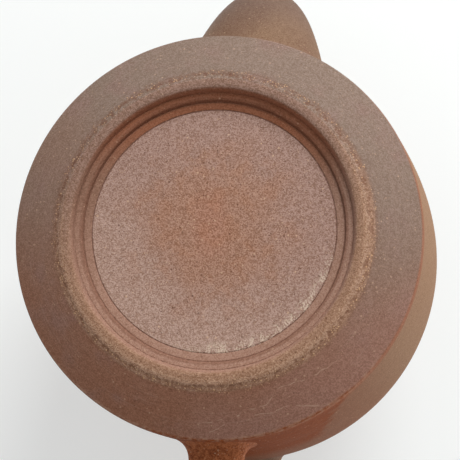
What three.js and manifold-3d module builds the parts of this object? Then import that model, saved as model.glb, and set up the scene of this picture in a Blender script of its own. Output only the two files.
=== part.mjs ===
// Unglazed stoneware teapot with a loop handle behind and a short spout in front.
// Millimetres, +Z up. The origin is on the pot's axis, in the plane that the foot ring stands on.
// The spout points along +X and the handle along -X.

import * as THREE from "three";
import { mergeVertices } from "three/addons/utils/BufferGeometryUtils.js";
import Module from "manifold-3d";

const wasm = await Module();
wasm.setup();

// Facets round the axis, and the gap between pieces that follow each other's curved surface
const turnFacets = 56;
const seatGap = 0.3;

// Reach of the spout in front and of the handle's back behind, from the axis
const reach = 86;

// Foot ring, from its outer side inwards. Its upper part is let into the base plate.
const footRadius = 37.3;
const footHeight = 2.8;
const footEdge = 0.9;
const footShoulder = 1.9;
const crestWidth = 1.2;
const crestRounding = 1.1;
const stepWidth = 1.7;
const stepHeight = 2;
const stepSlope = 0.4;
const grooveWidth = 0.3;

// Base plate: recessed floor, flared skirt, the crease that stands in from the belly,
// and a low rim that carries the wall
const baseThickness = 3.6;
const rimRise = 2.6;
const insideCornerWidth = 4;
const floorRecess = 0.8;
const floorLineWidth = 0.2;
const skirtHeight = 1;
const creaseInset = 6;
const creaseHeight = 6.6;

// Wall, from the crease over the belly to the mouth, and how far its cutters run past it
const wallThickness = 3.2;
const bellyRadius = 55;
const bellyHeight = 52;
const shoulderRadius = 35;
const shoulderHeight = 76;
const lowerWallFullness = 1.4;
const lowerWallRise = 9.5;
const upperWallRise = 14;
const shoulderRun = 9;
const shoulderSlope = 0.5;
const wallSteps = 6;
const overrun = wallThickness * 4;

// Mouth ring with the ledge that carries the lid
const mouthRadius = 29.2;
const ledgeHeight = 2;
const collarHeight = 4;
const collarThickness = 1.8;

// Lid, its flange and its knob
const lidClearance = 0.45;
const lidEdgeHeight = 2.2;
const lidEdgeRounding = 0.8;
const lidRise = 5.2;
const lidCrown = 1.4;
const lidThickness = 3;
const flangeClearance = 0.7;
const flangeThickness = 2.8;
const flangeLength = 8;
const flangeChamfer = 0.5;
const knobSeatRadius = 7.2;
const knobNeckRadius = 5.4;
const knobNeckHeight = 2.6;
const knobFillet = 1.1;
const knobRadius = 9.3;
const knobBelow = 4.4;
const knobAbove = 5;
const knobHeight = 13;
const knobUndercut = 54;
const knobFacets = 32;
const ventRadius = 1.5;
const ventDistance = 20;
const ventSides = 12;

// Spout: centre line in the XZ plane, outer widths and bore
const spoutTurn = 3.2;
const spoutLean = 4;
const spoutRootHeight = 43;
const spoutTipHeight = 78;
const spoutRootInset = 9;
const spoutSweepHeight = 6;
const spoutRootWidth = 43.5;
const spoutRootDepth = 36;
const spoutTipWidth = 11.5;
const spoutTipDepth = 12;
const spoutWall = 2.4;
const spoutTaperPower = 0.95;
const spoutMouthTilt = 28;
const spoutSides = 24;
const spoutRings = 11;

// Strainer: a pierced dome that stands over the spout's hole, inside the wall
const strainerRadius = 14.2;
const strainerThickness = 1.8;
const strainerRise = 6.5;
const strainerSkirt = 1.2;
const strainerHoleRadius = 0.85;
const strainerPitch = 2.75;
const strainerRings = 4;
const strainerFacets = 28;
const strainerSteps = 5;
const strainerHoleSides = 6;

// Handle: a strap bent into a loop, with a flared root at each end
const handleTurn = 2.7;
const handleLean = 1.8;
const handleLowerWidth = 12.6;
const handleUpperWidth = 21;
const handleThickness = 8.6;
const handleLowerHeight = 17;
const handleUpperHeight = 56;
const handleLowerArm = 20;
const handleUpperArm = 20;
const handleDrop = 4;
const handleRise = 8;
const handleRoundness = 0.62;
const handleSquareness = 2.4;
const handleInset = 3;
const handleFlare = 0.36;
const handleFlareLength = 2.6;
const handleSides = 18;
const handleRings = 24;

const clay = new THREE.Color(0x7c5c4f);

// A closed geometry as a solid that can be cut and joined
function solidOf(geometry) {
  const bare = geometry.clone();
  bare.deleteAttribute("normal");
  bare.deleteAttribute("uv");
  const merged = mergeVertices(bare, 1e-4);
  return new wasm.Manifold(
    new wasm.Mesh({
      numProp: 3,
      vertProperties: new Float32Array(merged.attributes.position.array),
      triVerts: new Uint32Array(merged.index.array),
    }),
  );
}

// A solid back as a geometry
function geometryOf(solid) {
  const mesh = solid.getMesh();
  const points = new Float32Array(mesh.numVert * 3);
  for (let i = 0; i < mesh.numVert; i++) {
    points.set(mesh.vertProperties.subarray(i * mesh.numProp, i * mesh.numProp + 3), i * 3);
  }
  const geometry = new THREE.BufferGeometry();
  geometry.setAttribute("position", new THREE.BufferAttribute(points, 3));
  geometry.setIndex(new THREE.BufferAttribute(new Uint32Array(mesh.triVerts), 1));
  geometry.computeVertexNormals();
  return geometry;
}

// Turns a closed profile of [radius, height] points about the Z axis. The points run anticlockwise.
function revolve(profile, facets = turnFacets) {
  const points = profile.map(([r, z]) => new THREE.Vector2(r, z));
  points.push(points[0].clone());
  const geometry = new THREE.LatheGeometry(points, facets);
  geometry.rotateX(Math.PI / 2);
  return solidOf(geometry);
}

// Skins a row of closed sections, each with the same number of points, and caps both ends
function loft(sections) {
  const sides = sections[0].length;
  const points = sections.flat();
  const indices = [];
  for (let ring = 0; ring < sections.length - 1; ring++) {
    for (let side = 0; side < sides; side++) {
      const a = ring * sides + side;
      const b = ring * sides + ((side + 1) % sides);
      indices.push(a, b, b + sides, a, b + sides, a + sides);
    }
  }
  const first = points.length;
  const last = first + 1;
  const centreOf = (ring) =>
    ring.reduce((sum, p) => sum.add(p), new THREE.Vector3()).divideScalar(sides);
  points.push(centreOf(sections[0]), centreOf(sections[sections.length - 1]));
  const end = (sections.length - 1) * sides;
  for (let side = 0; side < sides; side++) {
    const next = (side + 1) % sides;
    indices.push(first, next, side);
    indices.push(last, end + side, end + next);
  }
  const geometry = new THREE.BufferGeometry().setFromPoints(points);
  geometry.setIndex(indices);
  return solidOf(geometry);
}

// An oval section across a centre line that lies in the XZ plane: width along Y, depth across the line
function ovalSection(curve, t, width, depth, sides, squareness = 2) {
  const centre = curve.getPoint(t);
  const along = curve.getTangent(t);
  const across = new THREE.Vector3(-along.z, 0, along.x);
  const section = [];
  for (let side = 0; side < sides; side++) {
    const angle = (side / sides) * 2 * Math.PI;
    const c = Math.cos(angle);
    const s = Math.sin(angle);
    const y = (width / 2) * Math.sign(c) * Math.abs(c) ** (2 / squareness);
    const n = (depth / 2) * Math.sign(s) * Math.abs(s) ** (2 / squareness);
    section.push(centre.clone().addScaledVector(across, n).add(new THREE.Vector3(0, y, 0)));
  }
  return section;
}

const creaseRadius = bellyRadius - creaseInset;

// Outer line of the wall from crease to shoulder, moved outwards by offset
function wallLine(offset = 0) {
  const lower = new THREE.CubicBezierCurve(
    new THREE.Vector2(creaseRadius, creaseHeight),
    new THREE.Vector2(creaseRadius + lowerWallFullness, creaseHeight + lowerWallRise),
    new THREE.Vector2(bellyRadius, bellyHeight - lowerWallRise),
    new THREE.Vector2(bellyRadius, bellyHeight),
  );
  const upper = new THREE.CubicBezierCurve(
    new THREE.Vector2(bellyRadius, bellyHeight),
    new THREE.Vector2(bellyRadius, bellyHeight + upperWallRise),
    new THREE.Vector2(shoulderRadius + shoulderRun, shoulderHeight - shoulderRun * shoulderSlope),
    new THREE.Vector2(shoulderRadius, shoulderHeight),
  );
  const line = [];
  for (const [curve, start] of [[lower, 0], [upper, 1]]) {
    for (let step = start; step <= wallSteps; step++) {
      const t = step / wallSteps;
      const point = curve.getPoint(t);
      const along = curve.getTangent(t);
      line.push([point.x + along.y * offset, point.y - along.x * offset]);
    }
  }
  return line;
}

// Outer radius of the wall at a height, along its line
function wallRadiusAt(height) {
  const line = wallLine();
  const above = Math.max(line.findIndex(([, z]) => z >= height), 1);
  const [lowRadius, lowHeight] = line[above - 1];
  const [highRadius, highHeight] = line[above];
  const share = (height - lowHeight) / (highHeight - lowHeight);
  return lowRadius + (highRadius - lowRadius) * share;
}

// The space inside a wall line, drawn in to the neck radius at the top and run on past both ends
function wallSpace(offset, extra = 0, neck = shoulderRadius + offset) {
  const line = wallLine(offset);
  const [firstRadius, firstHeight] = line[0];
  const [lastRadius, lastHeight] = line[line.length - 1];
  const neckRadius = Math.min(neck, lastRadius - seatGap);
  const neckHeight = lastHeight + (lastRadius - neckRadius) * shoulderSlope;
  return revolve([
    [0, firstHeight - extra],
    [firstRadius, firstHeight - extra],
    ...line,
    [neckRadius, neckHeight],
    [neckRadius, neckHeight + extra],
    [0, neckHeight + extra],
  ]);
}

// Foot ring: rounded crest with a flat worn on it, and a step on its inner side
const crestOuter = footRadius - footShoulder;
const crestInner = crestOuter - crestWidth;
const stepOuter = crestInner - crestRounding;
const stepInner = stepOuter - stepWidth;
const footInnerRadius = stepInner - grooveWidth;

// Shares of the shoulder, the rounding and the heights ease the profile's corners
function footRing() {
  return revolve([
    [crestInner, 0],
    [crestOuter, 0],
    [crestOuter + footShoulder * 0.6, footEdge * 0.25],
    [footRadius, footEdge],
    [footRadius, footHeight],
    [footInnerRadius, footHeight],
    [stepInner, stepHeight + stepSlope / 2],
    [stepOuter - grooveWidth, stepHeight - stepSlope / 2],
    [stepOuter, stepHeight / 2],
    [crestInner - crestRounding * 0.45, stepHeight * 0.12],
  ]);
}

// Base plate: the foot ring is let into its underside, and the wall stands on its rim
const rimHeight = creaseHeight + rimRise;
const rimRadius = wallRadiusAt(rimHeight);

function basePlate() {
  const floor = footHeight + floorRecess;
  const inside = floor + baseThickness;
  const floorRadius = footInnerRadius - stepWidth;
  const seatRadius = footRadius + seatGap;
  return revolve([
    [0, floor],
    [floorRadius - floorLineWidth, floor],
    [floorRadius, floor - floorLineWidth / 2],
    [footInnerRadius - grooveWidth / 2, floor - stepSlope - floorLineWidth / 2],
    [footInnerRadius, footHeight],
    [seatRadius, footHeight],
    [seatRadius, skirtHeight],
    [creaseRadius, creaseHeight],
    [rimRadius, rimHeight],
    [rimRadius - wallThickness, rimHeight],
    [rimRadius - wallThickness - insideCornerWidth, inside],
    [0, inside],
  ]);
}

// Spout: its centre line, and the outer skin and the bore as lofts along it
const spoutTipCentre = reach - spoutTipDepth / 2;
const spoutLine = new THREE.QuadraticBezierCurve3(
  new THREE.Vector3(bellyRadius - spoutRootInset, 0, spoutRootHeight),
  new THREE.Vector3(spoutTipCentre - spoutTipDepth / 3, 0, spoutRootHeight + spoutSweepHeight),
  new THREE.Vector3(spoutTipCentre, -spoutLean, spoutTipHeight + spoutTipDepth / 2),
);

// One skin along the spout, a wall's thickness inside the outer one and no wider than a limit
function spoutLoft(inset = 0, widest = Infinity) {
  const sections = [];
  for (let ring = 0; ring <= spoutRings; ring++) {
    const t = ring / spoutRings;
    const fullness = 1 - t ** spoutTaperPower;
    const width = spoutTipWidth + (spoutRootWidth - spoutTipWidth) * fullness - 2 * inset;
    const depth = spoutTipDepth + (spoutRootDepth - spoutTipDepth) * fullness - 2 * inset;
    sections.push(
      ovalSection(spoutLine, t, Math.min(width, widest), Math.min(depth, widest), spoutSides),
    );
  }
  return loft(sections);
}

// What lies above the spout's slanting mouth
function aboveSpoutMouth() {
  const block = new THREE.BoxGeometry(reach, reach, reach);
  block.translate(0, 0, reach / 2);
  block.rotateY(THREE.MathUtils.degToRad(spoutMouthTilt));
  block.translate(spoutTipCentre, 0, spoutTipHeight);
  return solidOf(block);
}

// The bore fits inside the strainer's skirt, and it goes on through the wall
const bore = spoutLoft(spoutWall, 2 * (strainerRadius - strainerThickness)).rotate([0, 0, spoutTurn]);

function spout() {
  const skin = spoutLoft().subtract(aboveSpoutMouth()).rotate([0, 0, spoutTurn]);
  return skin.subtract(bore).subtract(wallSpace(seatGap));
}

// Wall: the outer line closed at the rim and the shoulder, less its inside and the spout's hole
function bodyWall() {
  const inside = wallSpace(-wallThickness, overrun, shoulderRadius - wallThickness);
  const belowRim = revolve([[0, 0], [bellyRadius, 0], [bellyRadius, rimHeight], [0, rimHeight]]);
  const above = shoulderHeight + overrun;
  const top = [[0, shoulderHeight], [bellyRadius, shoulderHeight]];
  const aboveShoulder = revolve([...top, [bellyRadius, above], [0, above]]);
  return wallSpace(0).subtract(inside).subtract(belowRim).subtract(aboveShoulder).subtract(bore);
}

// Mouth ring: a ledge for the lid inside a low collar
function mouthRing() {
  const ledge = shoulderHeight + ledgeHeight;
  const top = shoulderHeight + collarHeight;
  return revolve([
    [mouthRadius, shoulderHeight],
    [shoulderRadius, shoulderHeight],
    [shoulderRadius + collarThickness * 0.1, shoulderHeight + collarHeight * 0.4],
    [shoulderRadius - collarThickness * 0.15, top - collarThickness * 0.3],
    [shoulderRadius - collarThickness * 0.5, top],
    [shoulderRadius - collarThickness * 0.85, top - collarThickness * 0.25],
    [shoulderRadius - collarThickness, ledge],
    [mouthRadius, ledge],
  ]);
}

// Strainer: a pierced dome with a skirt, trimmed to stand off the wall's inside
function strainer() {
  const wallInside = wallRadiusAt(spoutRootHeight - strainerRadius / 2) - wallThickness;
  const face = Math.sqrt(wallInside ** 2 - strainerRadius ** 2) - strainerSkirt;
  const cap = (radius, rise, back) => {
    const sphere = (radius * radius + rise * rise) / (2 * rise);
    const spread = Math.asin(radius / sphere);
    const profile = [];
    for (let step = 0; step <= strainerSteps; step++) {
      const angle = spread * (1 - step / strainerSteps);
      profile.push([sphere * Math.sin(angle), rise - sphere * (1 - Math.cos(angle))]);
    }
    return revolve([[0, -back], [radius, -back], ...profile], strainerFacets);
  };
  const shell = cap(strainerRadius, strainerRise, overrun).subtract(
    cap(strainerRadius - strainerThickness, strainerRise - strainerThickness, 2 * overrun),
  );
  const holes = [];
  const through = 2 * (strainerRise + overrun);
  const [radius, sides] = [strainerHoleRadius, strainerHoleSides];
  for (let q = -strainerRings; q <= strainerRings; q++) {
    for (let r = -strainerRings; r <= strainerRings; r++) {
      if (Math.abs(q + r) > strainerRings) continue;
      const hole = new THREE.CylinderGeometry(radius, radius, through, sides);
      hole.rotateX(Math.PI / 2);
      hole.translate(strainerPitch * (q + r / 2), strainerPitch * r * Math.sqrt(3 / 4), 0);
      holes.push(solidOf(hole));
    }
  }
  const pierced = shell.subtract(wasm.Manifold.union(holes));
  const turned = pierced.rotate([0, -90, 0]).translate([face, 0, spoutRootHeight]).rotate([0, 0, spoutTurn]);
  return turned.intersect(wallSpace(-wallThickness - seatGap));
}

// Handle: one strap along a loop, wider where each end meets the wall
function handleLine() {
  const back = reach - handleThickness / 2;
  const lowerRoot = wallRadiusAt(handleLowerHeight) - handleInset;
  const upperRoot = wallRadiusAt(handleUpperHeight) - handleInset;
  const middle = (handleLowerHeight + handleUpperHeight) / 2;
  const bend = (middle - handleLowerHeight) * handleRoundness;
  const line = new THREE.CurvePath();
  line.add(
    new THREE.CubicBezierCurve3(
      new THREE.Vector3(-lowerRoot, 0, handleLowerHeight),
      new THREE.Vector3(-lowerRoot - handleLowerArm, 0, handleLowerHeight - handleDrop),
      new THREE.Vector3(-back, handleLean / 2, middle - bend),
      new THREE.Vector3(-back, handleLean / 2, middle),
    ),
  );
  line.add(
    new THREE.CubicBezierCurve3(
      new THREE.Vector3(-back, handleLean / 2, middle),
      new THREE.Vector3(-back, handleLean / 2, middle + bend),
      new THREE.Vector3(-upperRoot - handleUpperArm, handleLean, handleUpperHeight + handleRise),
      new THREE.Vector3(-upperRoot, handleLean, handleUpperHeight),
    ),
  );
  return line;
}

function handle() {
  const line = handleLine();
  const length = line.getLength();
  const sections = [];
  for (let ring = 0; ring <= handleRings; ring++) {
    const t = ring / handleRings;
    const fromWall = Math.max(Math.min(t, 1 - t) * length - handleInset, 0);
    const flare = 1 + handleFlare * Math.exp(-fromWall / handleFlareLength);
    const width = handleLowerWidth + (handleUpperWidth - handleLowerWidth) * t;
    const thickness = handleThickness * flare;
    sections.push(ovalSection(line, t, width * flare, thickness, handleSides, handleSquareness));
  }
  return loft(sections).rotate([0, 0, -handleTurn]).subtract(wallSpace(seatGap));
}

// Lid: a low dome with a flat rim that rests on the ledge, and a vent beside the knob
const lidBottom = shoulderHeight + ledgeHeight;
const lidRadius = shoulderRadius - collarThickness - lidClearance;
const flangeRadius = mouthRadius - flangeClearance;
const knobSeat = lidBottom + lidEdgeHeight + lidRise;

function lidPlate() {
  const hollow = flangeRadius - flangeThickness;
  const edge = lidRadius - lidEdgeRounding;
  const top = [];
  const under = [];
  const steps = 4;
  for (let step = 0; step <= steps; step++) {
    const angle = (step / steps) * (Math.PI / 2);
    const r = edge - (edge - knobSeatRadius) * Math.sin(angle);
    top.push([r, knobSeat - lidRise * (1 - Math.sin(angle) ** lidCrown)]);
    under.push([
      hollow * Math.cos(angle),
      lidBottom + (lidRise + lidEdgeHeight - lidThickness) * Math.sin(angle),
    ]);
  }
  const plate = revolve([
    [hollow, lidBottom],
    [lidRadius, lidBottom],
    [lidRadius, lidBottom + lidEdgeHeight - lidEdgeRounding],
    ...top,
    [0, knobSeat],
    ...under.slice(1).reverse(),
  ]);
  const through = 2 * (lidRise + overrun);
  const vent = new THREE.CylinderGeometry(ventRadius, ventRadius, through, ventSides);
  vent.rotateX(Math.PI / 2);
  vent.translate(ventDistance, 0, lidBottom);
  return plate.subtract(solidOf(vent));
}

// Flange: a plain ring under the lid, inside the mouth
function lidFlange() {
  return revolve([
    [flangeRadius - flangeThickness, lidBottom - flangeLength],
    [flangeRadius - flangeChamfer, lidBottom - flangeLength],
    [flangeRadius, lidBottom - flangeLength + flangeChamfer],
    [flangeRadius, lidBottom],
    [flangeRadius - flangeThickness, lidBottom],
  ]);
}

// Knob: a narrow neck under a flattened ball, which is fuller above its widest line than below
function lidKnob() {
  const bulge = [];
  const steps = 8;
  const widest = knobSeat + knobHeight - knobAbove;
  const undercut = THREE.MathUtils.degToRad(knobUndercut);
  for (let step = 0; step < steps; step++) {
    const angle = ((Math.PI / 2 + undercut) * step) / steps - undercut;
    const rise = angle > 0 ? knobAbove : knobBelow;
    bulge.push([knobRadius * Math.cos(angle), widest + rise * Math.sin(angle)]);
  }
  const neck = [
    [knobSeatRadius, knobSeat],
    [knobNeckRadius + knobFillet / 2, knobSeat + knobFillet],
    [knobNeckRadius, knobSeat + knobNeckHeight],
  ];
  return revolve([[0, knobSeat], ...neck, ...bulge, [0, knobSeat + knobHeight]], knobFacets);
}

function piece(name, solid, roughness = 0.62) {
  const material = new THREE.MeshStandardMaterial({ color: clay, roughness, metalness: 0 });
  const mesh = new THREE.Mesh(geometryOf(solid), material);
  mesh.name = name;
  return mesh;
}

// The pot, fired as one with its foot, spout and handle
const pot = new THREE.Group();
pot.add(piece("foot_ring", footRing(), 0.8));
pot.add(piece("base_plate", basePlate()));
pot.add(piece("body_wall", bodyWall()));
pot.add(piece("mouth_ring", mouthRing()));
pot.add(piece("spout", spout()));
pot.add(piece("strainer", strainer()));
pot.add(piece("handle", handle()));

// The lid, which lifts off
const lid = new THREE.Group();
lid.add(piece("lid_plate", lidPlate()));
lid.add(piece("lid_flange", lidFlange()));
lid.add(piece("lid_knob", lidKnob()));

const teapot = new THREE.Group();
teapot.add(pot, lid);

export default teapot;
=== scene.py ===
# %% [markdown]
# # An unglazed teapot, looked at from below
#
# The camera looks at the underside of a small stoneware teapot. There is a turned recess inside a
# foot ring, then a wide flat cone that ends in a sharp crease. Behind them show a crescent of the
# belly, the spout and the lower root of the handle. The lid, the inside and all other sides are
# built as well, because the pot is looked at from everywhere.
#
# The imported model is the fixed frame: its nodes say where each piece is. Every visible piece is
# built again here at the same place in finer clay, and rides on the body "pot" or "lid".

# %% The frame
import math

import bmesh
import bpy
from mathutils import Matrix, Vector


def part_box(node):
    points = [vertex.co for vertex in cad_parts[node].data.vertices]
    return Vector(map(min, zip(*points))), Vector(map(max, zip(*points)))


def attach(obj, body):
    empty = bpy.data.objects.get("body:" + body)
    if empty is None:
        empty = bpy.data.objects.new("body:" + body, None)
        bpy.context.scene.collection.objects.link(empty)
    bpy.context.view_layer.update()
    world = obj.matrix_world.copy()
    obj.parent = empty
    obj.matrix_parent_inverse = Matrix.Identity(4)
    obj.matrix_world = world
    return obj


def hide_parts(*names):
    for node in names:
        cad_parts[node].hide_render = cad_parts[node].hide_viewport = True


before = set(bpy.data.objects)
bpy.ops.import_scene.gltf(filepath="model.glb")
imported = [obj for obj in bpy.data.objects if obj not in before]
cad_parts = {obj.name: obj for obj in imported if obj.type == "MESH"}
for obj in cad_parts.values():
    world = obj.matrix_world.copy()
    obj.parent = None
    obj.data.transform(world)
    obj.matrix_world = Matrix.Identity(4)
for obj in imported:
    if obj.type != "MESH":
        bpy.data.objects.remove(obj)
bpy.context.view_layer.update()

MM = 0.001
print("nodes:", sorted(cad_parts))

# %% [markdown]
# ## Sizes
#
# A potter measures with callipers. We read the main sizes from the CAD nodes, so that the pieces
# here can't drift away from the solids that they stand for. Lengths below are in millimetres, and
# a mesh is scaled to metres once, when it is made.


# %% Sizes from the nodes
def corners_of(node):
    """Lowest and highest corner of a CAD node, in millimetres."""
    low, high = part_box(node)
    return low / MM, high / MM


foot_radius = corners_of("foot_ring")[1].y
foot_height = corners_of("foot_ring")[1].z
belly_radius = corners_of("body_wall")[1].y
shoulder_height = corners_of("mouth_ring")[0].z
collar_top = corners_of("mouth_ring")[1].z
lid_radius = corners_of("lid_plate")[1].y
lid_bottom = corners_of("lid_plate")[0].z
flange_bottom = corners_of("lid_flange")[0].z
flange_radius = corners_of("lid_flange")[1].y
knob_seat = corners_of("lid_knob")[0].z
knob_top = corners_of("lid_knob")[1].z
reach = corners_of("handle")[0].x * -1
print("foot", round(foot_radius, 2), "belly", round(belly_radius, 2), "reach", round(reach, 2))

# %% [markdown]
# ## Turning
#
# Nearly everything on this pot came off a wheel, so its surface is a profile turned about the axis.
# Blender has a Screw modifier and a Spin tool for that. Building the rings ourselves is as short,
# and it closes the poles with one vertex each, which both of those leave as a ring of doubles.
#
# A wheel and a wet finger leave no truly sharp corner. Each corner of a profile therefore carries
# its own easing, the length over which a small curve rounds it.


# %% Curves and eased profiles
def along(points, t):
    """The point at t, from 0 to 1, on the Bezier curve with these control points."""
    while len(points) > 1:
        points = [a.lerp(b, t) for a, b in zip(points, points[1:])]
    return points[0]


def eased(profile, steps=4):
    """Turns corners (radius, height, easing) into points, with a small curve at each eased one."""
    line = []
    for index, (radius, height, ease) in enumerate(profile):
        here = Vector((radius, height))
        if not ease:
            line.append(here)
            continue
        before = Vector(profile[index - 1][:2]) - here
        after = Vector(profile[index + 1][:2]) - here
        start = here + before.normalized() * min(ease, before.length / 2)
        end = here + after.normalized() * min(ease, after.length / 2)
        line += [along([start, here, end], step / steps) for step in range(steps + 1)]
    return line


# %% Meshes from rings of points
def new_object(name, data):
    """An object with this mesh, lamp or camera, linked to the scene."""
    item = bpy.data.objects.new(name, data)
    bpy.context.scene.collection.objects.link(item)
    return item


def make_piece(name, points, faces):
    """A mesh object from points in millimetres, its normals outwards and its shading smooth."""
    mesh = bpy.data.meshes.new(name)
    mesh.from_pydata([point * MM for point in points], [], faces)
    form = bmesh.new()
    form.from_mesh(mesh)
    bmesh.ops.remove_doubles(form, verts=form.verts, dist=0.001 * MM)
    bmesh.ops.recalc_face_normals(form, faces=form.faces)
    form.to_mesh(mesh)
    form.free()
    piece = new_object(name, mesh)
    smooth(piece)
    return piece


def smooth(piece, sharp_from=40):
    """Smooth shading, apart from edges that turn by more than an angle."""
    for face in piece.data.polygons:
        face.use_smooth = True
    piece.data.set_sharp_from_angle(angle=math.radians(sharp_from))


def strips(rows, loop):
    """Faces between rows of vertex numbers. A loop joins the last row to the first one."""
    faces = []
    for low, high in list(zip(rows, rows[1:])) + [(rows[-1], rows[0])] * loop:
        for side in range(len(low)):
            after = (side + 1) % len(low)
            corners = [low[side], low[after], high[after], high[side]]
            faces.append(tuple(dict.fromkeys(corners)))
    return faces


def skin(name, rings, loop=False):
    """Joins rings of points, in a loop or with closed ends."""
    count = len(rings[0])
    points = [point for ring in rings for point in ring]
    rows = [range(start, start + count) for start in range(0, len(points), count)]
    if not loop:
        rows = [[len(points)] * count] + rows + [[len(points) + 1] * count]
        points += [sum(ring, Vector()) / count for ring in (rings[0], rings[-1])]
    return make_piece(name, points, strips(rows, loop))


def turn(name, line, steps):
    """Turns a line of (radius, height) about the Z axis. An end on the axis becomes one vertex, and
    a line with no end on it is closed into a ring."""
    points, rows = [], []
    for radius, height in line:
        if radius < 0.001:
            rows.append([len(points)] * steps)
            points.append(Vector((0, 0, height)))
            continue
        rows.append(range(len(points), len(points) + steps))
        for step in range(steps):
            angle = 2 * math.pi * step / steps
            points.append(Vector((radius * math.cos(angle), radius * math.sin(angle), height)))
    return make_piece(name, points, strips(rows, line[0][0] > 0.001))


# %% Modifiers, written into the mesh
def settle(piece):
    """Writes the result of an object's modifiers into its mesh and removes them."""
    bpy.context.view_layer.update()
    graph = bpy.context.evaluated_depsgraph_get()
    mesh = bpy.data.meshes.new_from_object(piece.evaluated_get(graph))
    piece.modifiers.clear()
    piece.data = mesh
    smooth(piece)


def cut(piece, cutter):
    """Cuts one solid out of another, and removes the cutter."""
    knife = piece.modifiers.new("cut", "BOOLEAN")
    knife.operation = "DIFFERENCE"
    knife.solver = "EXACT"
    knife.object = cutter
    settle(piece)
    bpy.data.objects.remove(cutter)


# %% [markdown]
# ## Foot ring
#
# The ring is what the pot stands on. It was turned from leather-hard clay with a loop tool: low and
# rounded, with a flank that runs out into the flat cone, and inside it two shallow steps that lead
# down to the recess. A thin ridge and sharp corners give those steps their dark lines, so they are
# part of the profile, and the clay's colour deepens them with painted shade.
#
# A Bevel modifier would round all corners alike. With its own easing for each, the ring is soft
# where hands and shelves wear it and crisp inside.

# %% Foot ring
TURN_STEPS = 200
FLOOR_HEIGHT = foot_height + 0.8
RING_TOP = foot_height + 0.5
RING_INSIDE = 31.04
RING_OUTSIDE = foot_radius - 0.02
CREST_START = 34.3
CREST_END = 35.3

foot_profile = [
    (RING_INSIDE, RING_TOP, 0),
    (RING_INSIDE, foot_height + 0.38, 0.05),
    (31.3, 2.3, 0.18),
    (32.84, 1.77, 0.1),
    (32.94, 1.87, 0.05),
    (33.04, 1.77, 0.05),
    (33.14, 1.0, 0.3),
    (33.62, 0.24, 0.5),
    (CREST_START, 0.0, 0.5),
    (CREST_END, 0.0, 0.8),
    (36.5, 0.26, 0.9),
    (RING_OUTSIDE, 0.86, 0.25),
    (RING_OUTSIDE, RING_TOP, 0),
]
foot = turn("foot_turned", eased(foot_profile), TURN_STEPS)
print("foot ring:", len(foot.data.polygons), "faces")

# %% [markdown]
# ## Pot
#
# Base, wall and mouth are one skin of clay. Outside it runs from the recess over the flat cone to
# the crease, then over the belly to the shoulder and up the collar; inside it comes back past the
# ledge that carries the lid. The wall's line is the same pair of Bezier curves that the solid has,
# sampled finely, and the inside follows it at the wall's thickness.
#
# Three pieces, as in the solids, would show seams where the clay has none, and a Solidify modifier
# could make the inside but not the ledge.

# %% Wall line
CREASE_RADIUS = belly_radius - 6
CREASE_HEIGHT = 6.6
BELLY_HEIGHT = 52
SHOULDER_RADIUS = 35
WALL_THICKNESS = 3.2
WALL_STEPS = 44

lower_wall = [Vector(p) for p in ((CREASE_RADIUS, CREASE_HEIGHT),
                                  (CREASE_RADIUS + 1.4, CREASE_HEIGHT + 9.5),
                                  (belly_radius, BELLY_HEIGHT - 9.5),
                                  (belly_radius, BELLY_HEIGHT))]
upper_wall = [Vector(p) for p in ((belly_radius, BELLY_HEIGHT),
                                  (belly_radius, BELLY_HEIGHT + 14),
                                  (SHOULDER_RADIUS + 9, shoulder_height - 4.5),
                                  (SHOULDER_RADIUS, shoulder_height))]
wall_line = [along(lower_wall, step / WALL_STEPS) for step in range(WALL_STEPS)]
wall_line += [along(upper_wall, step / WALL_STEPS) for step in range(WALL_STEPS + 1)]
print("wall:", len(wall_line), "points up to", round(wall_line[-1].y, 1), "mm")


# %% Wall radius and inside line
def wall_radius(height, thickness=0.0):
    """Radius of the wall at a height. A thickness gives the surface that far inside it."""
    height = min(max(height, wall_line[0].y), wall_line[-1].y)
    for low, high in zip(wall_line, wall_line[1:]):
        if height <= high.y:
            break
    slope = high - low
    radius = low.x + slope.x * (height - low.y) / slope.y
    return radius - thickness * slope.length / slope.y


def inner_wall():
    """The wall's line a wall's thickness further in, from the shoulder down to the rim."""
    inside = []
    for low, high in reversed(list(zip(wall_line, wall_line[1:]))[::3]):
        normal = Vector((high.y - low.y, low.x - high.x)).normalized()
        point = (low + high) / 2 - normal * WALL_THICKNESS
        if 12 < point.y < shoulder_height - 4:
            inside.append(point)
    return inside


print("wall at half height:", round(wall_radius(shoulder_height / 2), 1), "mm from the axis")

# %% Pot, turned
FLOOR_RADIUS = 29.1
STEP_HEIGHT = FLOOR_HEIGHT - 0.4
MOUTH_RADIUS = 29.2
LEDGE_HEIGHT = lid_bottom
INSIDE_FLOOR = 7.2

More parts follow.
